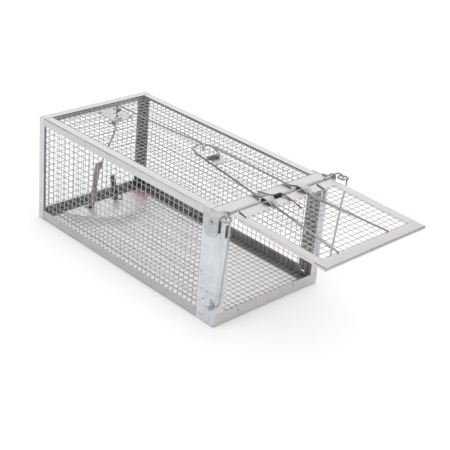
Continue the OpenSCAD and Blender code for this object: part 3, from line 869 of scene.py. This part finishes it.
def trigger_bracket():
    corners = rounded([
        (PIVOT_X, SLOT_Y - 12), (PIVOT_X + 16, SLOT_Y - 12), (PIVOT_X + 16, SLOT_Y + 12),
        (PIVOT_X - 16, SLOT_Y + 12), (PIVOT_X - 16, SLOT_Y - 12), (PIVOT_X, SLOT_Y - 12),
    ], 2.2)[:-1]
    shapes = [slab([(p.x, p.y) for p in corners], CAGE_H, CAGE_H + PLATE_T, cage)]
    low = PIVOT_Z - 3
    cheek = [(PIVOT_X - CHEEK_W, CAGE_H + 0.3), (PIVOT_X - CHEEK_W, PIVOT_Z)]
    cheek += [(PIVOT_X - 4 * cos(a), low - 1 * sin(a)) for a in spread(0, pi, 8)]
    cheek += [(PIVOT_X + CHEEK_W, PIVOT_Z), (PIVOT_X + CHEEK_W, CAGE_H + 0.3)]
    for y in (SLOT_Y - 6.5, SLOT_Y + 6.5):
        shapes.append(slab(cheek, y - 0.4, y + 0.4, lambda u, v, s: Vector((u, s, v))))
    arc = [(ARC_R * cos(a), ARC_R * sin(a)) for a in spread(radians(-9), radians(52), 12)]
    inner_r = ARC_R - 2.2
    arc += [(inner_r * cos(a), inner_r * sin(a)) for a in spread(radians(52), radians(-9), 12)]
    arc = [(PIVOT_X - 2 + x, SLOT_Y - 4 + y) for x, y in arc]
    holes = [
        block((PIVOT_X - 4, SLOT_Y - 0.8, CAGE_H - 1), (PIVOT_X + 2.6, SLOT_Y + 5.8, CAGE_H + 2)),
        slab(arc, CAGE_H - 1, CAGE_H + 2, cage),
    ]
    piece("trigger_bracket", shapes, plate_zinc, ["trigger_bracket"], "cage", bevel=0.12, cutters=holes)


trigger_bracket()
piece(
    "bracket_rivets", [dome((x, y, CAGE_H + PLATE_T), (0, 0, 1), 1.7, 0.8) for x, y in rivet_spots],
    rivet_steel, ["bracket_rivets"], "cage",
)
pin = [(PIVOT_X, y, PIVOT_Z) for y in spread(SLOT_Y - 7.9, SLOT_Y + 7.9, 4)]
piece("pedal_pivot_pin", [tube(pin, 1.0)], wire_zinc, ["pedal_pivot_pin"], "cage")

# ---- Trigger rod ----

ROD_REAR = Vector((43.5, 3.2, 120.4))
ROD_FRONT = Vector((143, 12.9, CAGE_H + 5.8))


def trigger_rod():
    run = ROD_FRONT - ROD_REAR
    middle = []
    for x in steps(55, ROD_FRONT.x, 8):
        share = (x - ROD_REAR.x) / run.x
        bow = Vector((0, -1.2 * sin(radians(1.8 * (x - 45))), 0))
        middle.append(ROD_REAR + run * share + bow)
    eye = rounded([
        (41.2, 2.2, 117.6), (36.2, 2.4, 113.7), (33.6, 2.2, ROD_REAR.z + 0.4), ROD_REAR
    ], 1.3)
    hook = rounded([
        ROD_FRONT + Vector((2, 0, -0.2)), ROD_FRONT + Vector((9.5, 0, -0.6)),
        ROD_FRONT + Vector((12, -2.7, -1)), ROD_FRONT + Vector((16, -6.9, -1.8)),
    ], 1.6)
    piece("trigger_rod", [tube(eye + middle + hook, 0.8)], wire_zinc, ["trigger_rod"], "trigger")


trigger_rod()

# ---- Door strips ----

REAR_STRIP = 10
FRONT_STRIP = 12
SIDE_STRIP = 9.5
strip_mid = STRIP_Z + MID
side_x = STRIP_X + REAR_STRIP
front_x = DOOR_REACH - FRONT_STRIP


def across_door(u, v, s):
    return door(u, s, v)


def along_door(u, v, s):
    return door(s, u, v)


piece(
    "door_rear_strip",
    [band(
        [(STRIP_X, strip_mid), (STRIP_X + 5, strip_mid), (side_x, strip_mid)], SHEET,
        spread(1 - DOOR_HALF, DOOR_HALF - 1, 16), across_door,
    )],
    door_zinc, ["door_rear_strip"], "door", bevel=0.1, wave=True,
)
lip = rounded([
    (front_x, strip_mid), (DOOR_REACH - MID, strip_mid), (DOOR_REACH - MID, STRIP_Z - 2)
], FOLD)
ROLL_R = 0.8
piece(
    "door_front_strip",
    [band(lip, SHEET, spread(ROLL_R - DOOR_HALF, DOOR_HALF, 16), across_door)],
    door_zinc, ["door_front_strip"], "door", bevel=0.1, wave=True,
)
flat = [(DOOR_HALF - SIDE_STRIP, strip_mid), (DOOR_HALF - 4, strip_mid), (DOOR_HALF, strip_mid)]
piece(
    "door_right_strip", [band(flat, SHEET, spread(side_x, front_x, 10), along_door)],
    door_zinc, ["door_right_strip"], "door", bevel=0.1, wave=True,
)


def left_strip():
    """The strip's outer edge is rolled under, and the roll runs on past the front strip."""
    inner = [(SIDE_STRIP - DOOR_HALF, strip_mid), (4 - DOOR_HALF, strip_mid)]
    roll = [
        (-DOOR_HALF - ROLL_R * sin(a), strip_mid - ROLL_R + ROLL_R * cos(a))
        for a in spread(0, radians(300), 14)
    ]
    shapes = [
        band(inner + roll, SHEET, spread(side_x, front_x, 10), along_door),
        band(roll, SHEET, spread(front_x, DOOR_REACH - 0.4, 3), along_door),
    ]
    piece("door_left_strip", shapes, door_zinc, ["door_left_strip"], "door", bevel=0.1, wave=True)


left_strip()

# ---- The door's arms and the tongues that hold them ----

ARM_END = front_x - 0.2
ARM_REAR = -0.3
ARM_ROOF = -1.0
ARM_HINGE = ROD_R + ARM_R + 0.2
ARM_DOOR = STRIP_Z + ARM_R


def over_hinge(y, slope):
    return [
        (-10.5, y - 10.5 * slope, ARM_ROOF), (-3.4, y - 3 * slope, 1.6), (-0.5, y, ARM_HINGE),
        (5, y + 5 * slope, ARM_HINGE - 0.1), (11, y + 11 * slope, ARM_HINGE - 0.7),
        (18, y + 18 * slope, ARM_DOOR),
    ]


left_path = rounded([door(*p) for p in [
    (-120.4, 10.4, ARM_REAR - 0.5), (-115.5, -1, ARM_REAR - 0.2), (-107, -5.5, ARM_REAR),
    (-99.4, -6.3, ARM_REAR - 0.1), *over_hinge(-20, -0.164), (ARM_END, -36.4, ARM_DOOR),
]], 2.6)
right_path = rounded([door(*p) for p in [
    (-116.8, 15.4, ARM_REAR - 0.4), (-112, 18.6, ARM_REAR - 0.2), (-105, 19.6, ARM_REAR),
    (-96, 20.2, ARM_REAR - 0.1), (-48, 21.9, ARM_REAR - 0.4), *over_hinge(22.7, -0.02),
    (52, 24, ARM_DOOR), (ARM_END, 28.2, ARM_DOOR),
]], 2.6)
piece("left_arm", [tube(left_path, ARM_R, 16)], arm_zinc, ["left_arm"], "door")
piece("right_arm", [tube(right_path, ARM_R, 16)], arm_zinc, ["right_arm"], "door")

TONGUE_W = 7.5
tongue_path = spline([
    (13, 1.05), (11.4, 1.1), (9.6, 1.9), (6.6, 3.3), (3, 3.85), (0, 3.8), (-1.9, 2.6),
    (-2.3, 0.6), (-1.8, -1.1), (-0.4, -1.9), (1.0, -1.6),
], 4)


def tongue(name, y, arm):
    """A strip from the door's rear strip, arched over the arm and curled under the rod."""
    shape = band(
        [(p.x, p.y) for p in tongue_path], SHEET, spread(y - TONGUE_W / 2, y + TONGUE_W / 2, 4),
        across_door,
    )
    near = [p for p in arm if abs(p.x - HINGE_X) < 18]
    # Painted shade: the tongue's downward faces take the darker inner shade zinc.
    piece(
        name, [shape], tongue_zinc, [name], "door", bevel=0.14,
        cutters=[tube(near, ARM_R + 0.45, 12)], shade_facing=[((0, 0, -1), inner_shade_zinc)],
    )


tongue("left_hinge_knuckle", -20, left_path)
tongue("right_hinge_knuckle", 24.5, right_path)

STAPLE_R = 0.5
staple_z = STRIP_Z + SHEET + STAPLE_R
staples = []
for a, b in (((0.4, -56), (11, -58)), ((0.4, 43), (15, 40))):
    start = door(STRIP_X + a[0], a[1], staple_z)
    end = door(STRIP_X + b[0], b[1], staple_z)
    staples.append(tube([start, (start + end) / 2 + Vector((0, 0.25, 0)), end], STAPLE_R))
piece("door_staples", staples, wire_zinc, ["door_staples"], "door")

LINK_X = -91
link_upright = rounded([(-6.3, -2), (-6.3, 2.4), (11, 2.4), (11, -2)], 1.2)
piece(
    "arm_link_plate",
    [
        slab(
            [(p.x, p.y) for p in link_upright], LINK_X, LINK_X + 0.7,
            lambda u, v, s: door(s, u, v),
        ),
        slab(
            [(LINK_X + 0.7, -3), (LINK_X + 11, -3), (LINK_X + 12.5, -1.5), (LINK_X + 12.5, 7.5),
             (LINK_X + 11, 9), (LINK_X + 0.7, 9)],
            -2, -1.3, door,
        ),
    ],
    plate_zinc, ["arm_link_plate"], "door", bevel=0.12,
)
link_wire = spline([door(*p) for p in [
    (-107, 17.3, 0.2), (-104.5, 16.2, 0.2), (-101.6, 14.9, 0.2), (-98, 13.6, 0.3),
    (-94.5, 12.4, 0.4), (-91.7, 10.2, 0.5),
]], 4)
piece("arm_link_wire", [tube(link_wire, 0.8)], wire_zinc, ["arm_link_wire"], "door")

# ---- Door spring, in one piece from the roof leg through the coil to the door leg ----

COIL_R = 2.3
SPRING_R = 0.55
COIL_TURNS = 5
COIL_START = -0.8
COIL_RUN = 7.4
LEG_Z = STRIP_Z + SHEET + SPRING_R
ROOF_LEG_Z = CAGE_H + 1.1

door_leg = spline([door(*p) for p in [
    (28, -3.5, LEG_Z - 0.5), (15, -1.4, LEG_Z + 0.1), (5, -0.4, LEG_Z + 0.65),
    (1.6, COIL_START, COIL_R - 0.1),
]], 4)
coil = []
for i in range(1, 24 * COIL_TURNS):
    turn = radians(90) + 2 * pi * i / 24
    y = COIL_START - COIL_RUN * i / (24 * COIL_TURNS)
    coil.append(door(COIL_R * cos(turn), y, COIL_R * sin(turn)))
roof_leg = spline([
    (HINGE_X - 2.6, -8.3, HINGE_Z + 1.6), (HINGE_X - 4.6, -8.2, HINGE_Z + 0.6),
    (HINGE_X - 8.4, -7.4, ROOF_LEG_Z), (HINGE_X - 13, -8.4, ROOF_LEG_Z),
    (HINGE_X - 16.9, -9.6, ROOF_LEG_Z), (HINGE_X - 20, -9.9, ROOF_LEG_Z - 0.2),
], 4)
BLEND_LEAN = 0.35
BLEND_START = -7.4
BLEND_RUN = 5.8
bend_start = Vector(((HINGE_X + REAR) * MM, BLEND_START * MM, HINGE_Z * MM))
bend_end = bend_start + Vector((BLEND_LEAN * BLEND_RUN * MM, BLEND_RUN * MM, 0))
piece(
    "door_spring", [tube(door_leg + coil + roof_leg, SPRING_R, 12)], spring_steel,
    ["door_spring", "spring_roof_leg"], "door", bend=(bend_start, bend_end),
)

# ---- Lock wires ----

RING_R = 4.7
LOCK_DROP = 84
LOCK_R = 0.9


def lock_wire():
    """A ring, a long leg and a hooked foot, bent from one wire."""
    foot_x, foot_z = LOCK.x - 0.5, LOCK.z - LOCK_DROP
    leg_y = LOCK.y - 1.5
    leg = rounded([
        (foot_x - 9, leg_y, foot_z - 6), (foot_x - 5, leg_y, foot_z - 6), (foot_x, leg_y, foot_z),
        (LOCK.x + RING_R - 1, leg_y, LOCK.z - 22), (LOCK.x + RING_R + 0.5, LOCK.y - 0.4, LOCK.z - 8),
        (LOCK.x + RING_R, LOCK.y, LOCK.z - 1.4),
    ], 3)
    ring = [
        (LOCK.x + RING_R * cos(a), LOCK.y + RING_R * sin(a), LOCK.z - 0.5 + 0.2 * a)
        for a in spread(radians(8), radians(352), 36)
    ]
    return tube(leg + ring, LOCK_R)


lock_shape = lock_wire()
piece("right_lock_wire", [lock_shape], lock_zinc, ["right_lock_wire"], "right_lock")
piece("left_lock_wire", [mirrored(lock_shape)], lock_zinc, ["left_lock_wire"], "left_lock")

# ---- Pedal ----

PEDAL_X = 17
PEDAL_R = 50
PEDAL_Z = 6.5
TILT = radians(6)
STRAP_Y = -20
STRAP_W = 7
STRAP_TOP = 62
STRAP_FOOT = 9.4
STRAP_L = 55.1
LEAN = radians(9.6)
CLIP_X = 8.4
CLIP_Y = 14
CLIP_H = 26
CLIP_LEAN = radians(12)
CLIP_HALF = 3
PEDAL_T = 0.8
RIM_H = 1.6
CORE_R = 1.5
TOP_FACE = 0.45
RIVET_ALONG, RIVET_UP = 5.6, 0.85


def on_plate(x, y, z):
    """A point on the tilted plate, counted from the middle of its rear edge."""
    return Vector((
        PEDAL_X + x * cos(TILT) - z * sin(TILT), y, PEDAL_Z + x * sin(TILT) + z * cos(TILT)
    ))


def half_disc():
    """A half-round plate of rings, with a low rim turned up round its curved edge."""
    half = PEDAL_T / 2
    rings = [(r, -half) for r in spread(CORE_R, PEDAL_R - 3, 10)]
    rim = rounded([(PEDAL_R - 2.5, -half), (PEDAL_R - half, -half), (PEDAL_R - half, RIM_H)], 1)
    path = rings + [(p.x, p.y) for p in rim]
    return band(
        path, PEDAL_T, spread(-pi / 2, pi / 2, 64),
        lambda r, z, a: on_plate(r * cos(a), r * sin(a), z),
    )


core = slab(
    [(CORE_R * cos(a), CORE_R * sin(a)) for a in spread(-pi / 2, pi / 2, 8)],
    -PEDAL_T, 0, on_plate,
)
piece("pedal_plate", [half_disc(), core], pedal_steel, ["pedal_plate"], "pedal", bevel=0.12, wave=True)

strap_path = rounded([
    (STRAP_FOOT - 6, TOP_FACE), (STRAP_FOOT, TOP_FACE),
    (STRAP_FOOT + STRAP_L * sin(LEAN + TILT), TOP_FACE + STRAP_L * cos(LEAN + TILT)),
], 2.5)
strap_top_x = on_plate(strap_path[-1].x, STRAP_Y, strap_path[-1].y).x - 0.4
piece(
    "pedal_strap",
    [band(
        strap_path, PEDAL_T, spread(STRAP_Y - STRAP_W / 2, STRAP_Y + STRAP_W / 2, 4),
        lambda u, v, s: on_plate(u, s, v),
    )],
    shaded_strap_steel, ["pedal_strap"], "pedal", bevel=0.15, wave=True,
)
clip_path = rounded([
    (CLIP_X - 5.4, TOP_FACE), (CLIP_X, TOP_FACE),
    (CLIP_X - CLIP_H * sin(CLIP_LEAN), TOP_FACE + CLIP_H * cos(CLIP_LEAN)),
], 1.6)
piece(
    "bait_clip",
    [band(
        clip_path, PEDAL_T, spread(CLIP_Y - CLIP_HALF, CLIP_Y + CLIP_HALF, 4),
        lambda u, v, s: on_plate(u, s, v),
    )],
    bait_steel, ["bait_clip"], "pedal", bevel=0.15,
)
piece(
    "pedal_rivets",
    [
        dome(on_plate(RIVET_ALONG, y, RIVET_UP), (-sin(TILT), 0, cos(TILT)), 1.5, 0.8)
        for y in (STRAP_Y, CLIP_Y)
    ],
    rivet_steel, ["pedal_rivets"], "pedal",
)
hook_path = spline([on_plate(x, CLIP_Y + y, z) for x, y, z in [
    (5.7, 0, 18.5), (7.2, 0.8, 12.5), (9.6, 2.4, 8.5), (13, 3.6, 5.4), (16, 2, 3.2),
    (17, -1.2, 2.7), (15.4, -3.4, 3.6), (13, -3.8, 5.4),
]], 5)
piece("bait_hook", [tube(hook_path, 0.75)], bait_steel, ["bait_hook"], "pedal")


def pedal_lever():
    hub_y = SLOT_Y - 1.5
    edge_y = STRAP_Y + STRAP_W / 2 + 0.95
    eye_x, eye_z = PIVOT_X - 0.6, PIVOT_Z + 13
    hub = lathe(
        [(0, -1.8), (2.1, -1.8), (2.4, -1.5), (2.4, 1.5), (2.1, 1.8), (0, 1.8)],
        (PIVOT_X, hub_y, PIVOT_Z), (0, 1, 0), 24,
    )
    upper = rounded([
        (PIVOT_X, hub_y, PIVOT_Z + 1.9), (PIVOT_X, hub_y + 1.5, PIVOT_Z + 4),
        (eye_x, -0.2, CAGE_H - 1), (eye_x, -0.2, eye_z), (eye_x, 5.2, eye_z),
    ], 1.2)
    lower = rounded([
        (PIVOT_X, hub_y, PIVOT_Z - 1.9), (PIVOT_X + 1.3, hub_y + 2.6, PIVOT_Z - 6),
        (strap_top_x + 0.6, edge_y, STRAP_TOP + 1),
        (strap_top_x + 0.4 - 8 * math.tan(LEAN), edge_y, STRAP_TOP - 8),
    ], 2.2)
    piece(
        "pedal_lever", [hub, tube(upper, 0.7), tube(lower, 0.9)], wire_zinc, ["pedal_lever"], "pedal"
    )


pedal_lever()

# ---- Studio ----

def floor():
    """A pale sheet that runs far past the trap on every side."""
    size = 6.0
    sink = 0.0002
    glow = 0.27
    mesh = bpy.data.meshes.new("floor")
    points = [(x * size, y * size, -sink) for x, y in ((-1, -1), (1, -1), (1, 1), (-1, 1))]
    mesh.from_pydata(points, [], [(0, 1, 2, 3)])
    obj = bpy.data.objects.new("floor", mesh)
    bpy.context.scene.collection.objects.link(obj)
    g = Graph("pale floor")
    shade = g.mix(g.noise((3, 3, 3), 2), (0.93, 0.93, 0.93), (0.95, 0.95, 0.95))
    g.link(shade, g.shader.inputs["Base Color"])
    g.shader.inputs["Roughness"].default_value = 0.9
    g.shader.inputs["Specular IOR Level"].default_value = 0.1
    g.shader.inputs["Emission Color"].default_value = (1, 1, 1, 1)
    g.shader.inputs["Emission Strength"].default_value = glow
    mesh.materials.append(g.material)


def softbox(name, place, target, width, height, power):
    data = bpy.data.lights.new(name, "AREA")
    data.shape = "RECTANGLE"
    data.size = width
    data.size_y = height
    data.energy = power
    obj = bpy.data.objects.new(name, data)
    obj.location = place
    obj.rotation_mode = "QUATERNION"
    obj.rotation_quaternion = (Vector(target) - Vector(place)).to_track_quat("-Z", "Y")
    bpy.context.scene.collection.objects.link(obj)


def studio():
    world = bpy.data.worlds.new("studio")
    world.use_nodes = True
    background = world.node_tree.nodes["Background"]
    background.inputs["Color"].default_value = (0.97, 0.98, 1.0, 1)
    background.inputs["Strength"].default_value = 0.42
    bpy.context.scene.world = world
    middle = (0, 0, 0.05)
    softbox("overhead", (0.1, 0.1, 1.5), middle, 1.8, 1.8, 10)
    softbox("left", (-0.7, -1.4, 0.9), middle, 1.0, 0.8, 5)
    softbox("right", (1.4, 0.2, 0.8), middle, 0.9, 0.9, 3)
    softbox("behind", (-1.05, 1.1, 0.8), middle, 1.5, 1.0, 4.5)


def camera():
    place = Vector((0.65661, -0.67050, 0.52606))
    target = Vector((-0.01418, 0.02871, 0.03607))
    roll = radians(5.356)
    ahead = (target - place).normalized()
    level = ahead.cross(Vector((0, 0, 1))).normalized()
    over = level.cross(ahead)
    right = level * cos(roll) + over * sin(roll)
    up = over * cos(roll) - level * sin(roll)
    data = bpy.data.cameras.new("camera")
    data.sensor_width = 36
    data.angle = radians(23.015)
    data.clip_start, data.clip_end = 0.05, 20
    obj = bpy.data.objects.new("camera", data)
    turn = Matrix((right, up, -ahead)).transposed().to_4x4()
    obj.matrix_world = Matrix.Translation(place) @ turn
    bpy.context.scene.collection.objects.link(obj)
    bpy.context.scene.camera = obj


floor()
studio()
camera()
bpy.context.scene.view_settings.view_transform = "Standard"

bpy.context.view_layer.update()
